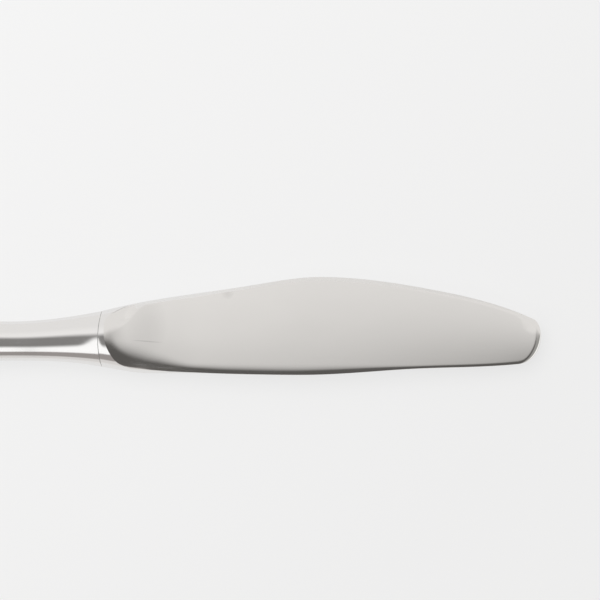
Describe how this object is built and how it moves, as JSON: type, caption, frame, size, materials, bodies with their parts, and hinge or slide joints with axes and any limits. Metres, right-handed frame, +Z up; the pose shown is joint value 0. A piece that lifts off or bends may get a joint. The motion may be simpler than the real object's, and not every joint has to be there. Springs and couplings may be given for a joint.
{
  "type": "dinner knife",
  "caption": "Dinner knife: satin round-ended blade with a crowned edge, polished bolster and slim polished hollow handle that swells to a rounded butt.",
  "frame": {"origin": "centre of the knife's box at the level it rests on, lying on its side", "axes": "+X from the butt to the tip, +Y to the cutting edge, +Z up through the thickness"},
  "size_m": [0.205, 0.02, 0.008],
  "materials": {
    "blade_steel": "satin",
    "handle_steel": "polished",
    "solder": "satin",
    "cement": "matte"
  },
  "bodies": {
    "root": {"blade": "blade_steel", "front_handle_shell": "handle_steel", "back_handle_shell": "handle_steel", "seam_solder": "solder", "tang_cement": "cement"}
  },
  "joints": []
}
